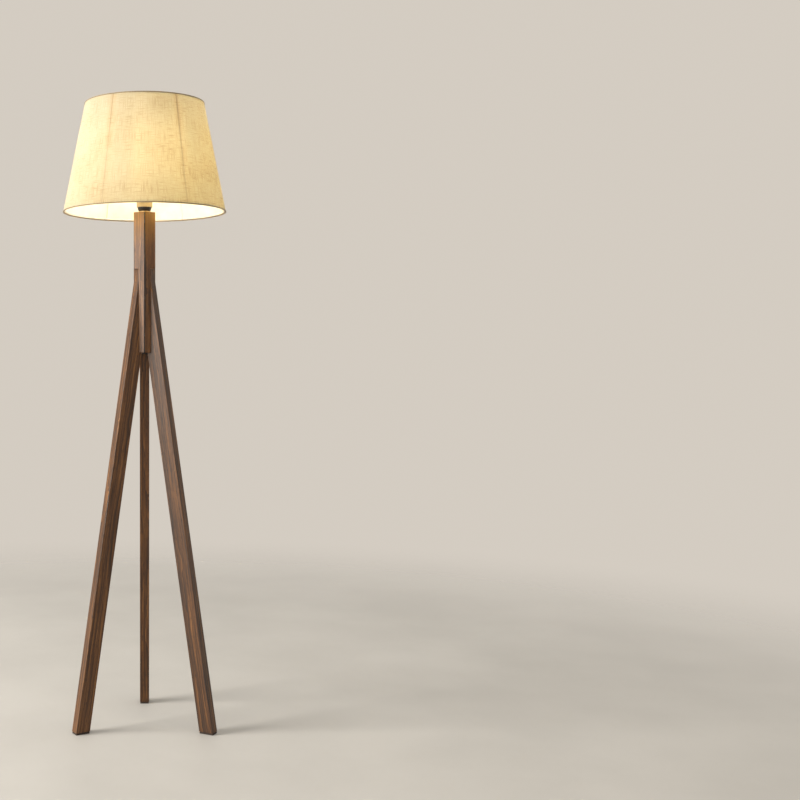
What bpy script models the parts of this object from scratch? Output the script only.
"""Tripod floor lamp: a stave-built hexagonal post on three splayed legs, with a linen shade on its holder.

Metres, +Z up. The origin is on the floor under the post's axis, and the front is -Y.
Each leg and each post stave is built in its own frame, whose +X points out along the leg.
"""

import math

import bmesh
import bpy
from mathutils import Matrix, Vector

# ---------------------------------------------------------------- driving sizes

GAP = 0.0003  # left between pieces that touch
EASE = 0.0010  # eased edge on wood

# Post: three rhombic staves glued round a cable bore
POST_BOTTOM_Z = 0.9255
POST_LENGTH = 0.3487
POST_FLATS = 0.0535
SEAM_GAP = 0.0003
REVEAL_WIDTH = 0.0018  # shadow groove along each seam's outer edge
REVEAL_DEPTH = 0.0045
CABLE_BORE_RADIUS = 0.0053
SEAT_RADIUS = 0.0144  # from the post's axis to the flat that a leg's back bears on

# Legs: straight bars whose backs are cut away to a long vertical taper, with an upright end
LEG_BEARINGS = {"back": 90, "front_left": 210, "front_right": 330}  # degrees from +X
LEG_TILT = math.radians(8.95)
LEG_WIDTH = 0.0240
LEG_DEPTH = 0.0370
LEG_TIP_LENGTH = 0.0280  # upright end, flush with the post's faces beside it
PAD_HEIGHT = 0.0045
PAD_INSET = 0.0008  # how far a foot pad stays inside the leg's edges

# Two bolts hold each leg, from outside, into threaded inserts in the stave
LOWER_BOLT_RISE = 0.0450  # above the post's lower end
UPPER_BOLT_STOCK = 0.0158  # the upper bolt goes where the taper is this thick
BOLT_RADIUS = 0.0030
BOLT_CLEARANCE = 0.0003
BOLT_HEAD_RADIUS = 0.0050
BOLT_HEAD_HEIGHT = 0.0050
BOLT_KEY_RADIUS = 0.0028  # hexagonal socket, across corners
BOLT_KEY_DEPTH = 0.0028
WOOD_UNDER_HEAD = 0.0065
INSERT_WALL = 0.0007
INSERT_SETBACK = 0.0009  # the insert stops this far outside the cable bore
BOLT_END_SETBACK = 0.0014  # and the bolt this far inside the insert

# Cable gland in the post's lower end
GLAND_BORE_RADIUS = 0.0033
GLAND_FLANGE = 0.0032  # how far the flange stands out past the cable bore
GLAND_FLANGE_HEIGHT = 0.0025
GLAND_STEM = 0.0140

# Lamp holder, from the post's top upwards
STEM_WALL = 0.0015
STEM_IN_POST = 0.0250
STEM_ABOVE_NUT = 0.0010
WASHER_RADIUS = 0.0145
WASHER_HEIGHT = 0.0030
CAP_SETBACK = 0.0018  # the cap's top edge stays this far inside the sleeve's face
CAP_HEIGHT = 0.0097
CAP_WALL = 0.0022
CAP_COLLAR_HEIGHT = 0.0055  # ring of the cap that screws up into the sleeve
CAP_COLLAR_WALL = 0.0016
NUT_HEIGHT = 0.0035
NUT_WALL = 0.0028
SLEEVE_CLEARANCE = 0.0034  # round the screw shell
SLEEVE_WALL = 0.0023
SLEEVE_SKIRT = 0.0215  # plain height below the flange
FLANGE_OVERHANG = 0.0028
FLANGE_HEIGHT = 0.0030
THREAD_HEIGHT = 0.0245  # threaded height above the flange
THREAD_SETBACK = 0.0006

CORE_HEIGHT = 0.0065
SHELL_RADIUS = 0.0141
SHELL_WALL = 0.0005
SHELL_HEIGHT = 0.0215
SHELL_FOOT = 0.0030  # width of the shell's turned-in foot
CONTACT_RADIUS = 0.0040
CONTACT_HEIGHT = 0.0026

SWITCH_DROP = 0.0105  # knob axis below the flange
SWITCH_SHAFT_RADIUS = 0.0020
SWITCH_RUNNING_GAP = 0.0004
KNOB_RADIUS = 0.0055
KNOB_LENGTH = 0.0100
SWITCH_BLOCK = (0.0150, 0.0130, 0.0070)  # across, front to back, height

# Bulb
BULB_CAP_FIT = 0.0005  # inside the screw shell
BULB_CAP_HEIGHT = 0.0235
BULB_CAP_WALL = 0.0013
BULB_BUTTON_RADIUS = 0.0045
BULB_BUTTON_HEIGHT = 0.0012
BULB_GLOBE_RADIUS = 0.0300
BULB_GLASS_HEIGHT = 0.0850
BULB_NECK_DEPTH = 0.0080  # how far the neck goes down into the cap
BULB_GLASS_WALL = 0.0010
BULB_BALL_STEPS = 8

# Shade
SHADE_RISE = 0.0003  # from the post's top to the shade's lower edge
SHADE_HEIGHT = 0.2705
SHADE_BOTTOM_RADIUS = 0.2024
SHADE_TOP_RADIUS = 0.1478
SHADE_WALL = 0.0010
TRIM_WALL = 0.0008
TRIM_HEIGHT = 0.0024
WIRE_RADIUS = 0.0015
RIB_RADIUS = 0.0013
RIB_COUNT = 6
ARM_COUNT = 3
ARM_RADIUS = 0.0015
ARM_RISE = 0.0240  # from the fitter ring up to where the arms meet the ribs
ARM_END_GAP = 0.0008  # the arms lean, so their square ends need more than a plain gap
FITTER_RUNNING_GAP = 0.0006
FITTER_WIDTH = 0.0065
FITTER_HEIGHT = 0.0020
CLAMP_RING_HEIGHT = 0.0080
CLAMP_RING_WALL = 0.0075

# Facets
FINE = 48  # shade
ROUND = 32  # holder
MIDDLE = 24  # bulb, stem and gland
SMALL = 12  # fixings
WIRE_SIDES = 6
SMOOTH_BELOW = math.radians(35)
BEVEL_ABOVE = math.radians(25)

# ---------------------------------------------------------------- derived sizes

SPLAY = math.tan(LEG_TILT)
LEG_RUN = LEG_DEPTH / math.cos(LEG_TILT)  # the leg's depth along a level line
LEG_BACK_SEAT = SEAT_RADIUS + GAP
LEG_FOOT_Z = PAD_HEIGHT + GAP
POST_TOP_Z = POST_BOTTOM_Z + POST_LENGTH
POST_CORNER = POST_FLATS / math.sqrt(3)
HOUSING_HALF_WIDTH = LEG_WIDTH / 2 + GAP
FLUSH_REACH = POST_CORNER - HOUSING_HALF_WIDTH * math.tan(math.pi / 6)
LEG_FLUSH_Z = POST_BOTTOM_Z + (LEG_RUN - (FLUSH_REACH - LEG_BACK_SEAT)) / SPLAY
LEG_TIP_Z = LEG_FLUSH_Z + LEG_TIP_LENGTH
HOUSING_TOP_Z = LEG_TIP_Z + GAP

BOLT_HEIGHTS = {
    "lower": POST_BOTTOM_Z + LOWER_BOLT_RISE,
    "upper": POST_BOTTOM_Z + (LEG_RUN - UPPER_BOLT_STOCK) / SPLAY,
}
HEAD_SEAT = LEG_BACK_SEAT + WOOD_UNDER_HEAD
HEAD_TOP = HEAD_SEAT + GAP + BOLT_HEAD_HEIGHT
INSERT_BORE = BOLT_RADIUS + BOLT_CLEARANCE
INSERT_RADIUS = INSERT_BORE + INSERT_WALL
INSERT_OUTER_END = SEAT_RADIUS - GAP
INSERT_INNER_END = CABLE_BORE_RADIUS + INSERT_SETBACK
BOLT_END = INSERT_INNER_END + BOLT_END_SETBACK
COUNTERBORE = BOLT_HEAD_RADIUS + BOLT_CLEARANCE

STEM_RADIUS = CABLE_BORE_RADIUS - GAP
WASHER_Z = POST_TOP_Z + GAP
CAP_Z = WASHER_Z + WASHER_HEIGHT + GAP
NUT_Z = CAP_Z + CAP_WALL + GAP
STEM_TOP_Z = NUT_Z + NUT_HEIGHT + STEM_ABOVE_NUT
SLEEVE_Z = CAP_Z + CAP_HEIGHT + GAP
SLEEVE_BORE = SHELL_RADIUS + SLEEVE_CLEARANCE
SLEEVE_RADIUS = SLEEVE_BORE + SLEEVE_WALL
CAP_TOP_RADIUS = SLEEVE_RADIUS - CAP_SETBACK
FLANGE_Z = SLEEVE_Z + SLEEVE_SKIRT
FLANGE_TOP_Z = FLANGE_Z + FLANGE_HEIGHT
SLEEVE_TOP_Z = FLANGE_TOP_Z + THREAD_HEIGHT
THREAD_RADIUS = SLEEVE_RADIUS - THREAD_SETBACK
COLLAR_RADIUS = SLEEVE_BORE - GAP

SWITCH_Z = FLANGE_Z - SWITCH_DROP
SWITCH_HOLE_RADIUS = SWITCH_SHAFT_RADIUS + SWITCH_RUNNING_GAP
KNOB_START = SLEEVE_RADIUS + SWITCH_RUNNING_GAP
CORE_RADIUS = SLEEVE_BORE - GAP
SWITCH_BLOCK_Z = SWITCH_Z - SWITCH_BLOCK[2] / 2
CORE_Z = SWITCH_Z + SWITCH_BLOCK[2] / 2 + GAP
CORE_TOP_Z = CORE_Z + CORE_HEIGHT
SHELL_Z = CORE_TOP_Z + GAP
CONTACT_TOP_Z = SHELL_Z + CONTACT_HEIGHT
BULB_Z = CONTACT_TOP_Z + GAP
BULB_CAP_Z = BULB_Z + BULB_BUTTON_HEIGHT + GAP
BULB_CAP_TOP_Z = BULB_CAP_Z + BULB_CAP_HEIGHT
BULB_CAP_RADIUS = SHELL_RADIUS - SHELL_WALL - BULB_CAP_FIT
BULB_CAP_BORE = BULB_CAP_RADIUS - BULB_CAP_WALL
BULB_NECK_RADIUS = BULB_CAP_BORE - GAP

SHADE_Z = POST_TOP_Z + SHADE_RISE
SHADE_TOP_Z = SHADE_Z + SHADE_HEIGHT
SHADE_TAPER = (SHADE_BOTTOM_RADIUS - SHADE_TOP_RADIUS) / SHADE_HEIGHT
RIB_INSET = SHADE_WALL + GAP + TRIM_WALL
FITTER_Z = FLANGE_TOP_Z + GAP
FITTER_BORE = (SLEEVE_RADIUS + FITTER_RUNNING_GAP) / math.cos(math.pi / ROUND)
FITTER_RADIUS = FITTER_BORE + FITTER_WIDTH
CLAMP_RING_Z = FITTER_Z + FITTER_HEIGHT + GAP
CLAMP_RING_BORE = (THREAD_RADIUS + FITTER_RUNNING_GAP) / math.cos(math.pi / ROUND)

# Linear colour, roughness and metallic value of each finish
FINISHES = {
    "walnut": ((0.215, 0.115, 0.060), 0.45, 0.0),
    "walnut_plug": ((0.180, 0.092, 0.048), 0.50, 0.0),
    "rubber": ((0.030, 0.026, 0.024), 0.85, 0.0),
    "steel": ((0.56, 0.56, 0.55), 0.35, 1.0),
    "brass": ((0.70, 0.50, 0.22), 0.30, 1.0),
    "black_plastic": ((0.012, 0.012, 0.012), 0.35, 0.0),
    "ivory_plastic": ((0.72, 0.58, 0.34), 0.40, 0.0),
    "ceramic": ((0.80, 0.79, 0.75), 0.30, 0.0),
    "opal_glass": ((0.95, 0.93, 0.88), 0.25, 0.0),
    "tin": ((0.60, 0.60, 0.60), 0.45, 1.0),
    "linen": ((0.80, 0.68, 0.44), 0.90, 0.0),
    "trim": ((0.17, 0.13, 0.09), 0.85, 0.0),
    "white_wire": ((0.75, 0.74, 0.70), 0.45, 0.0),
}

# ---------------------------------------------------------------- helpers


def clear_scene():
    for thing in list(bpy.data.objects):
        bpy.data.objects.remove(thing, do_unlink=True)


def finished(thing, finish):
    """Gives an object a Principled material of its own in the named finish."""
    colour, roughness, metallic = FINISHES[finish]
    material = bpy.data.materials.new(f"{thing.name}_{finish}")
    material.use_nodes = True
    shader = material.node_tree.nodes["Principled BSDF"]
    shader.inputs["Base Color"].default_value = (*colour, 1.0)
    shader.inputs["Roughness"].default_value = roughness
    shader.inputs["Metallic"].default_value = metallic
    thing.data.materials.append(material)
    return thing


def frame(name, location=(0, 0, 0), rotation=(0, 0, 0), parent=None):
    """An empty that places what is parented to it."""
    empty = bpy.data.objects.new(name, None)
    empty.location = location
    empty.rotation_euler = rotation
    empty.parent = parent
    bpy.context.scene.collection.objects.link(empty)
    return empty


def placed(name, bm, parent=None, location=(0, 0, 0), smooth=False):
    """Turns a bmesh into an object under its parent."""
    bmesh.ops.recalc_face_normals(bm, faces=bm.faces)
    mesh = bpy.data.meshes.new(name)
    bm.to_mesh(mesh)
    bm.free()
    if smooth:
        mesh.shade_smooth()
        mesh.set_sharp_from_angle(angle=SMOOTH_BELOW)
    thing = bpy.data.objects.new(name, mesh)
    thing.parent = parent
    thing.location = location
    bpy.context.scene.collection.objects.link(thing)
    return thing


def extruded(name, corners, along, parent=None):
    """A flat face through the corners, pushed along a vector into a solid."""
    bm = bmesh.new()
    face = bm.faces.new([bm.verts.new(corner) for corner in corners])
    pushed = bmesh.ops.extrude_face_region(bm, geom=[face])["geom"]
    ends = [part for part in pushed if isinstance(part, bmesh.types.BMVert)]
    bmesh.ops.translate(bm, verts=ends, vec=along)
    return placed(name, bm, parent)


def turned(name, outline, parent=None, location=(0, 0, 0), steps=ROUND, ring=True, turn=None):
    """Spins (radius, height) points about Z; a ring's outline closes, and others end on the axis."""
    bm = bmesh.new()
    points = [bm.verts.new((radius, 0, height)) for radius, height in outline]
    edges = [bm.edges.new(pair) for pair in zip(points, points[1:])]
    if ring:
        edges.append(bm.edges.new((points[-1], points[0])))
    bmesh.ops.spin(
        bm, geom=edges, cent=(0, 0, 0), axis=(0, 0, 1), angle=math.tau, steps=steps, use_merge=True
    )
    bmesh.ops.remove_doubles(bm, verts=bm.verts, dist=1e-7)
    if turn is not None:
        bmesh.ops.transform(bm, matrix=turn, verts=bm.verts)
    return placed(name, bm, parent, location, smooth=True)


def rod(name, start, end, radius, parent=None, sides=SMALL):
    """A round bar from one point to another."""
    start, end = Vector(start), Vector(end)
    way = end - start
    turn = way.to_track_quat("Z", "X").to_matrix().to_4x4()
    place = Matrix.Translation((start + end) / 2) @ turn
    bm = bmesh.new()
    bmesh.ops.create_cone(
        bm, cap_ends=True, segments=sides, radius1=radius, radius2=radius, depth=way.length, matrix=place
    )
    return placed(name, bm, parent, smooth=True)


def eased(thing, width=EASE, segments=1):
    """Takes the sharp edges off with a small bevel."""
    bevel = thing.modifiers.new("eased_edges", "BEVEL")
    bevel.width = width
    bevel.segments = segments
    bevel.limit_method = "ANGLE"
    bevel.angle_limit = BEVEL_ABOVE
    return thing


def cut(thing, cutter):
    """Takes a cutter's shape out of an object."""
    cutter.hide_render = True
    cutter.display_type = "WIRE"
    boolean = thing.modifiers.new("cut", "BOOLEAN")
    boolean.operation = "DIFFERENCE"
    boolean.object = cutter
    return thing


ALONG_X = Matrix.Rotation(math.pi / 2, 4, "Y")  # lays a turned shape's axis along +X


def tube_outline(inner, outer, low, high):
    return [(inner, low), (outer, low), (outer, high), (inner, high)]


def disc_outline(radius, low, high):
    return [(0, low), (radius, low), (radius, high), (0, high)]


# ---------------------------------------------------------------- post and legs


def leg_outer_face(height):
    """Distance from the post's axis to the leg's slanting outer face, at a height."""
    return LEG_BACK_SEAT + LEG_RUN + (POST_BOTTOM_Z - height) * SPLAY


def make_stave(side, holder):
    """One rhombic third of the post, with the housing that its leg stands in."""
    half_seam = SEAM_GAP / 2 / math.sin(math.pi / 3)
    sideways = POST_CORNER * math.sin(math.pi / 3) - SEAM_GAP / 2
    halfway = (half_seam + POST_CORNER) / 2
    corners = [
        (half_seam, 0, POST_BOTTOM_Z),
        (halfway, -sideways, POST_BOTTOM_Z),
        (POST_CORNER, 0, POST_BOTTOM_Z),
        (halfway, sideways, POST_BOTTOM_Z),
    ]
    stave = eased(extruded(f"post_stave_{side}", corners, (0, 0, POST_LENGTH), holder))

    below = POST_BOTTOM_Z - POST_LENGTH
    slot = [
        (SEAT_RADIUS, -HOUSING_HALF_WIDTH, below),
        (2 * POST_CORNER, -HOUSING_HALF_WIDTH, below),
        (2 * POST_CORNER, HOUSING_HALF_WIDTH, below),
        (SEAT_RADIUS, HOUSING_HALF_WIDTH, below),
    ]
    cut(stave, extruded(f"housing_{side}", slot, (0, 0, HOUSING_TOP_Z - below), holder))

    for seam, turn in (("left", -math.pi / 3), ("right", math.pi / 3)):
        out = Vector((math.cos(turn), math.sin(turn), 0))
        across = Vector((-out.y, out.x, 0)) * REVEAL_WIDTH / 2
        inner = out * (POST_CORNER - REVEAL_DEPTH) + Vector((0, 0, below))
        outer = out * 2 * POST_CORNER + Vector((0, 0, below))
        groove = [inner - across, outer - across, outer + across, inner + across]
        cut(stave, extruded(f"reveal_{side}_{seam}", groove, (0, 0, 3 * POST_LENGTH), holder))

    bore = disc_outline(CABLE_BORE_RADIUS, below, POST_TOP_Z + POST_LENGTH)
    cut(stave, turned(f"cable_bore_{side}", bore, holder, steps=MIDDLE, ring=False))

    for level, height in BOLT_HEIGHTS.items():
        start = (CABLE_BORE_RADIUS / 2, 0, height)
        end = (2 * SEAT_RADIUS, 0, height)
        hole = rod(f"insert_hole_{side}_{level}", start, end, INSERT_RADIUS + GAP, holder)
        cut(stave, hole)
    return finished(stave, "walnut")


def make_leg(side, holder):
    """A straight leg: the back is cut to a vertical flat where it lies in its housing."""
    half = LEG_WIDTH / 2
    inner_foot = LEG_BACK_SEAT + (POST_BOTTOM_Z - LEG_FOOT_Z) * SPLAY
    outline = [
        (inner_foot, -half, LEG_FOOT_Z),
        (leg_outer_face(LEG_FOOT_Z), -half, LEG_FOOT_Z),
        (FLUSH_REACH, -half, LEG_FLUSH_Z),
        (FLUSH_REACH, -half, LEG_TIP_Z),
        (LEG_BACK_SEAT, -half, LEG_TIP_Z),
        (LEG_BACK_SEAT, -half, POST_BOTTOM_Z),
    ]
    leg = eased(extruded(f"leg_{side}", outline, (0, LEG_WIDTH, 0), holder), segments=2)
    for level, height in BOLT_HEIGHTS.items():
        stepped = [
            (0, 0),
            (INSERT_BORE, 0),
            (INSERT_BORE, HEAD_SEAT),
            (COUNTERBORE, HEAD_SEAT),
            (COUNTERBORE, LEG_BACK_SEAT + 2 * LEG_RUN),
            (0, LEG_BACK_SEAT + 2 * LEG_RUN),
        ]
        place = (0, 0, height)
        hole = turned(
            f"bolt_hole_{side}_{level}", stepped, holder, place, steps=SMALL, ring=False, turn=ALONG_X
        )
        cut(leg, hole)
    return finished(leg, "walnut")


def make_foot_pad(side, holder):
    """A rubber pad under the leg's level foot."""
    inner = LEG_BACK_SEAT + (POST_BOTTOM_Z - LEG_FOOT_Z) * SPLAY + PAD_INSET
    outer = leg_outer_face(LEG_FOOT_Z) - PAD_INSET
    half = LEG_WIDTH / 2 - PAD_INSET
    corners = [(inner, -half, 0), (outer, -half, 0), (outer, half, 0), (inner, half, 0)]
    pad = extruded(f"foot_pad_{side}", corners, (0, 0, PAD_HEIGHT), holder)
    return finished(eased(pad, PAD_INSET / 2), "rubber")


def make_fixings(side, level, holder):
    """Bolt, threaded insert and wood plug of one leg fixing, along the leg frame's +X."""
    height = BOLT_HEIGHTS[level]
    place = (0, 0, height)

    insert = tube_outline(INSERT_BORE, INSERT_RADIUS, INSERT_INNER_END, INSERT_OUTER_END)
    name = f"leg_insert_{side}_{level}"
    finished(turned(name, insert, holder, place, steps=SMALL, turn=ALONG_X), "brass")

    head_start = HEAD_SEAT + GAP
    bolt = [
        (0, BOLT_END),
        (BOLT_RADIUS, BOLT_END),
        (BOLT_RADIUS, head_start),
        (BOLT_HEAD_RADIUS, head_start),
        (BOLT_HEAD_RADIUS, HEAD_TOP),
        (0, HEAD_TOP),
    ]
    name = f"leg_bolt_{side}_{level}"
    screw = turned(name, bolt, holder, place, steps=SMALL, ring=False, turn=ALONG_X)
    key_start = (HEAD_TOP - BOLT_KEY_DEPTH, 0, height)
    key_end = (HEAD_TOP + BOLT_KEY_DEPTH, 0, height)
    key = rod(f"bolt_key_{side}_{level}", key_start, key_end, BOLT_KEY_RADIUS, holder, sides=6)
    finished(cut(screw, key), "steel")

    start = (HEAD_TOP + GAP, 0, height)
    end = (leg_outer_face(height), 0, height)
    plug = rod(f"leg_plug_{side}_{level}", start, end, COUNTERBORE - GAP, holder)
    for vertex in plug.data.vertices:
        if vertex.co.x > (start[0] + end[0]) / 2:
            vertex.co.x = leg_outer_face(vertex.co.z)  # sanded flush with the sloping face
    finished(plug, "walnut_plug")


# ---------------------------------------------------------------- lamp holder


def make_gland():
    """Bushing that the cable leaves the post through."""
    stem = CABLE_BORE_RADIUS - GAP
    flange = CABLE_BORE_RADIUS + GLAND_FLANGE
    low = POST_BOTTOM_Z - GAP - GLAND_FLANGE_HEIGHT
    outline = [
        (GLAND_BORE_RADIUS, low),
        (flange, low),
        (flange, POST_BOTTOM_Z - GAP),
        (stem, POST_BOTTOM_Z - GAP),
        (stem, POST_BOTTOM_Z + GLAND_STEM),
        (GLAND_BORE_RADIUS, POST_BOTTOM_Z + GLAND_STEM),
    ]
    finished(turned("cable_gland", outline, steps=MIDDLE), "black_plastic")


def make_stem():
    """Threaded tube in the post's top, the washer round it and the nut that holds the cap down."""
    tube = tube_outline(STEM_RADIUS - STEM_WALL, STEM_RADIUS, POST_TOP_Z - STEM_IN_POST, STEM_TOP_Z)
    finished(turned("threaded_stem", tube, steps=MIDDLE), "steel")

    washer = tube_outline(STEM_RADIUS + GAP, WASHER_RADIUS, WASHER_Z, WASHER_Z + WASHER_HEIGHT)
    finished(turned("seat_washer", washer), "brass")

    nut_bore = STEM_RADIUS + GAP
    outer = nut_bore + NUT_WALL
    corners = [
        (outer * math.cos(side * math.pi / 3), outer * math.sin(side * math.pi / 3), NUT_Z)
        for side in range(6)
    ]
    nut = extruded("stem_nut", corners, (0, 0, NUT_HEIGHT))
    hole = disc_outline(nut_bore, NUT_Z - NUT_HEIGHT, NUT_Z + 2 * NUT_HEIGHT)
    finished(cut(nut, turned("nut_hole", hole, steps=MIDDLE, ring=False)), "steel")


def make_holder():
    """Cap, sleeve and the live parts inside the sleeve."""
    top = CAP_Z + CAP_HEIGHT
    collar_inside = COLLAR_RADIUS - CAP_COLLAR_WALL
    cap = [
        (STEM_RADIUS + GAP, CAP_Z),
        (WASHER_RADIUS, CAP_Z),
        (CAP_TOP_RADIUS, top),
        (COLLAR_RADIUS, top),
        (COLLAR_RADIUS, top + CAP_COLLAR_HEIGHT),
        (collar_inside, top + CAP_COLLAR_HEIGHT),
        (collar_inside, top),
        (WASHER_RADIUS - CAP_WALL, CAP_Z + CAP_WALL),
        (STEM_RADIUS + GAP, CAP_Z + CAP_WALL),
    ]
    finished(turned("holder_cap", cap), "black_plastic")

    flange = SLEEVE_RADIUS + FLANGE_OVERHANG
    sleeve = [
        (SLEEVE_BORE, SLEEVE_Z),
        (SLEEVE_RADIUS, SLEEVE_Z),
        (SLEEVE_RADIUS, FLANGE_Z),
        (flange, FLANGE_Z),
        (flange, FLANGE_TOP_Z),
        (THREAD_RADIUS, FLANGE_TOP_Z),
        (THREAD_RADIUS, SLEEVE_TOP_Z),
        (SLEEVE_BORE, SLEEVE_TOP_Z),
    ]
    skirt = turned("holder_sleeve", sleeve)
    hole = rod("switch_hole", (0, 0, SWITCH_Z), (0, 2 * SLEEVE_RADIUS, SWITCH_Z), SWITCH_HOLE_RADIUS)
    finished(cut(skirt, hole), "ivory_plastic")

    finished(
        turned("holder_core", disc_outline(CORE_RADIUS, CORE_Z, CORE_TOP_Z), ring=False), "ceramic"
    )

    inside = SHELL_RADIUS - SHELL_WALL
    foot = SHELL_RADIUS - SHELL_FOOT
    shell = [
        (foot, SHELL_Z),
        (SHELL_RADIUS, SHELL_Z),
        (SHELL_RADIUS, SHELL_Z + SHELL_HEIGHT),
        (inside, SHELL_Z + SHELL_HEIGHT),
        (inside, SHELL_Z + SHELL_WALL),
        (foot, SHELL_Z + SHELL_WALL),
    ]
    finished(turned("screw_shell", shell), "brass")
    contact = disc_outline(CONTACT_RADIUS, SHELL_Z, CONTACT_TOP_Z)
    finished(turned("centre_contact", contact, steps=MIDDLE, ring=False), "brass")


def make_switch():
    """Rotary switch: a block under the ceramic core, and a knob through the back of the sleeve."""
    across, deep, high = SWITCH_BLOCK
    corners = [
        (-across / 2, -deep / 2, SWITCH_BLOCK_Z),
        (across / 2, -deep / 2, SWITCH_BLOCK_Z),
        (across / 2, deep / 2, SWITCH_BLOCK_Z),
        (-across / 2, deep / 2, SWITCH_BLOCK_Z),
    ]
    finished(extruded("switch_block", corners, (0, 0, high)), "black_plastic")

    axis = frame("switch_axis", (0, 0, SWITCH_Z), (-math.pi / 2, 0, 0))
    shaft_start = deep / 2 + GAP
    knob_end = KNOB_START + KNOB_LENGTH
    knob = [
        (0, shaft_start),
        (SWITCH_SHAFT_RADIUS, shaft_start),
        (SWITCH_SHAFT_RADIUS, KNOB_START),
        (KNOB_RADIUS, KNOB_START),
        (KNOB_RADIUS, knob_end - EASE),
        (KNOB_RADIUS - EASE, knob_end),
        (0, knob_end),
    ]
    finished(turned("switch_knob", knob, axis, steps=MIDDLE, ring=False), "black_plastic")


# ---------------------------------------------------------------- bulb


def bulb_outline(shrink):
    """The glass from its neck to its crown; shrink moves it in by the glass thickness.

    A straight flank leaves the neck's top and touches the ball of the globe.
    """
    neck = BULB_NECK_RADIUS - shrink
    ball = BULB_GLOBE_RADIUS - shrink
    centre = BULB_GLASS_HEIGHT - BULB_GLOBE_RADIUS
    flank = math.acos(ball / math.hypot(neck, centre)) - math.atan2(centre, neck)
    angles = [
        flank + (math.pi / 2 - flank) * step / BULB_BALL_STEPS for step in range(BULB_BALL_STEPS)
    ]
    round_part = [(ball * math.cos(angle), centre + ball * math.sin(angle)) for angle in angles]
    return [(neck, -BULB_NECK_DEPTH), (neck, 0), *round_part, (0, centre + ball)]


def make_bulb(axis):
    """Globe, screw cap and end contact; heights in the axis frame, whose origin is the cap's top."""
    glass = [*reversed(bulb_outline(0)), *bulb_outline(BULB_GLASS_WALL)]
    finished(turned("bulb_glass", glass, axis, steps=MIDDLE, ring=False), "opal_glass")

    cup_floor = -BULB_NECK_DEPTH - GAP
    shoulder = BULB_BUTTON_RADIUS + GAP
    cap = [
        (0, -BULB_CAP_HEIGHT),
        (shoulder, -BULB_CAP_HEIGHT),
        (BULB_CAP_RADIUS, -BULB_CAP_HEIGHT + BULB_CAP_RADIUS - shoulder),
        (BULB_CAP_RADIUS, 0),
        (BULB_CAP_BORE, 0),
        (BULB_CAP_BORE, cup_floor),
        (0, cup_floor),
    ]
    finished(turned("bulb_cap", cap, axis, ring=False), "brass")

    button_top = -BULB_CAP_HEIGHT - GAP
    button = disc_outline(BULB_BUTTON_RADIUS, button_top - BULB_BUTTON_HEIGHT, button_top)
    finished(turned("bulb_button", button, axis, steps=MIDDLE, ring=False), "tin")


# ---------------------------------------------------------------- shade


def cover_radius(height):
    """Outer radius of the shade's cover, at a height."""
    return SHADE_BOTTOM_RADIUS - (height - SHADE_Z) * SHADE_TAPER


def make_cover(axis):
    """The linen cover: one open cone, between the two edge bindings."""
    low = SHADE_Z + TRIM_WALL + GAP
    high = SHADE_TOP_Z - TRIM_WALL - GAP
    outline = [
        (cover_radius(low) - SHADE_WALL, low),
        (cover_radius(low), low),
        (cover_radius(high), high),
        (cover_radius(high) - SHADE_WALL, high),
    ]
    finished(turned("shade_cover", outline, axis, steps=FINE), "linen")


def make_binding(name, edge, into, axis):
    """A folded tape over one edge of the cover; into is +1 where the cover lies above the edge."""
    floor = edge + into * TRIM_WALL
    lip = edge + into * TRIM_HEIGHT
    outside = GAP + TRIM_WALL
    inside = SHADE_WALL + GAP
    outline = [
        (cover_radius(edge) + outside, edge),
        (cover_radius(lip) + outside, lip),
        (cover_radius(lip) + GAP, lip),
        (cover_radius(floor) + GAP, floor),
        (cover_radius(floor) - inside, floor),
        (cover_radius(lip) - inside, lip),
        (cover_radius(lip) - inside - TRIM_WALL, lip),
        (cover_radius(edge) - inside - TRIM_WALL, edge),
    ]
    finished(turned(name, outline, axis, steps=FINE), "trim")


def wire_line(height):
    """Distance from the axis to the middle of the frame's wires, at a height."""
    return cover_radius(height) - RIB_INSET - WIRE_RADIUS - GAP


def round_the_axis(reach, height, number, count):
    """A point that far from the axis, at one of a number of even bearings."""
    bearing = math.tau * number / count
    return (reach * math.cos(bearing), reach * math.sin(bearing), height)


def wire_hoop(name, height, axis):
    """A wire hoop that lies against the inside of the cover."""
    outline = []
    for side in range(WIRE_SIDES):
        angle = math.tau * side / WIRE_SIDES
        radius = wire_line(height) + WIRE_RADIUS * math.cos(angle)
        outline.append((radius, height + WIRE_RADIUS * math.sin(angle)))
    finished(turned(name, outline, axis, steps=FINE), "white_wire")


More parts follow.
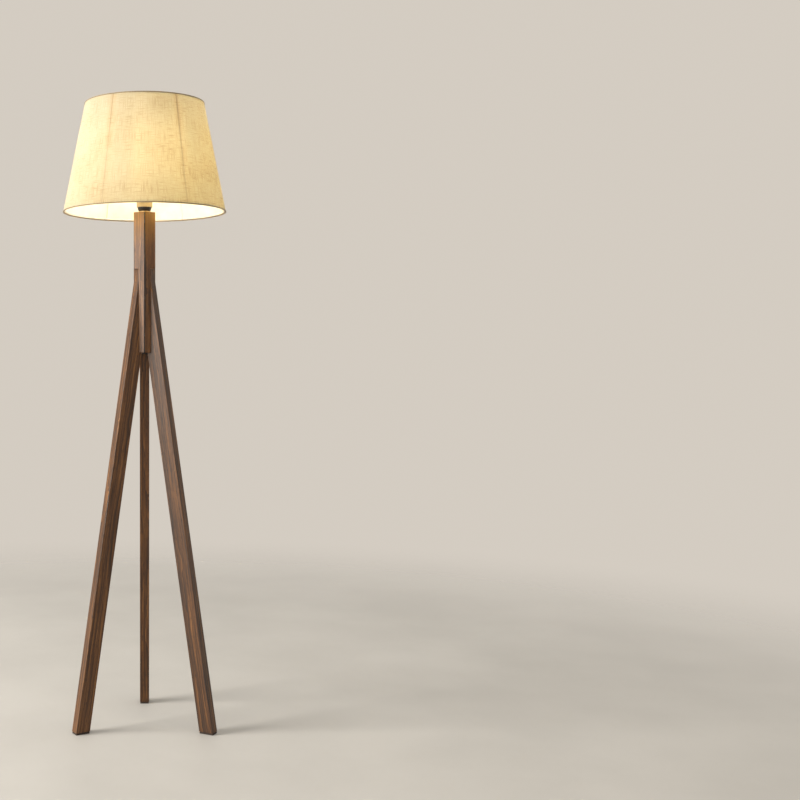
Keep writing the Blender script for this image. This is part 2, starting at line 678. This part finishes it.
def make_wire_frame(axis):
    """Two hoops and the ribs between them."""
    low = SHADE_Z + TRIM_HEIGHT + GAP + WIRE_RADIUS
    high = SHADE_TOP_Z - TRIM_HEIGHT - GAP - WIRE_RADIUS
    wire_hoop("shade_hoop_bottom", low, axis)
    wire_hoop("shade_hoop_top", high, axis)
    clear = WIRE_RADIUS + RIB_RADIUS * SHADE_TAPER + GAP
    for number in range(RIB_COUNT):
        ends = [
            round_the_axis(wire_line(height), height, number, RIB_COUNT)
            for height in (low + clear, high - clear)
        ]
        rib = rod(f"shade_rib_{number + 1}", *ends, RIB_RADIUS, axis, sides=WIRE_SIDES)
        finished(rib, "white_wire")


def make_fitter(axis):
    """The ring that sits on the holder's flange, and the arms that carry the ribs."""
    ring = tube_outline(FITTER_BORE, FITTER_RADIUS, FITTER_Z, FITTER_Z + FITTER_HEIGHT)
    finished(turned("fitter_ring", ring, axis), "white_wire")
    start_z = FITTER_Z + FITTER_HEIGHT / 2
    end_z = start_z + ARM_RISE
    start_reach = FITTER_RADIUS + ARM_END_GAP
    end_reach = wire_line(end_z) - RIB_RADIUS - ARM_END_GAP
    for number in range(ARM_COUNT):
        start = round_the_axis(start_reach, start_z, number, ARM_COUNT)
        end = round_the_axis(end_reach, end_z, number, ARM_COUNT)
        arm = rod(f"fitter_arm_{number + 1}", start, end, ARM_RADIUS, axis, sides=WIRE_SIDES)
        finished(arm, "white_wire")


def make_clamp_ring(axis):
    """The threaded ring that clamps the fitter down; it turns on the sleeve's thread."""
    outer = CLAMP_RING_BORE + CLAMP_RING_WALL
    outline = tube_outline(CLAMP_RING_BORE, outer, 0, CLAMP_RING_HEIGHT)
    finished(turned("clamp_ring", outline, axis), "ivory_plastic")


# ---------------------------------------------------------------- the lamp


def main():
    clear_scene()
    for side, bearing in LEG_BEARINGS.items():
        leg_frame = frame(f"leg_frame_{side}", rotation=(0, 0, math.radians(bearing)))
        make_stave(side, leg_frame)
        make_leg(side, leg_frame)
        make_foot_pad(side, leg_frame)
        for level in BOLT_HEIGHTS:
            make_fixings(side, level, leg_frame)
    make_gland()
    make_stem()
    make_holder()
    make_switch()
    make_bulb(frame("bulb_axis", (0, 0, BULB_CAP_TOP_Z)))
    shade_axis = frame("shade_axis")
    make_cover(shade_axis)
    make_binding("shade_trim_bottom", SHADE_Z, 1, shade_axis)
    make_binding("shade_trim_top", SHADE_TOP_Z, -1, shade_axis)
    make_wire_frame(shade_axis)
    make_fitter(shade_axis)
    make_clamp_ring(frame("clamp_ring_axis", (0, 0, CLAMP_RING_Z)))


main()
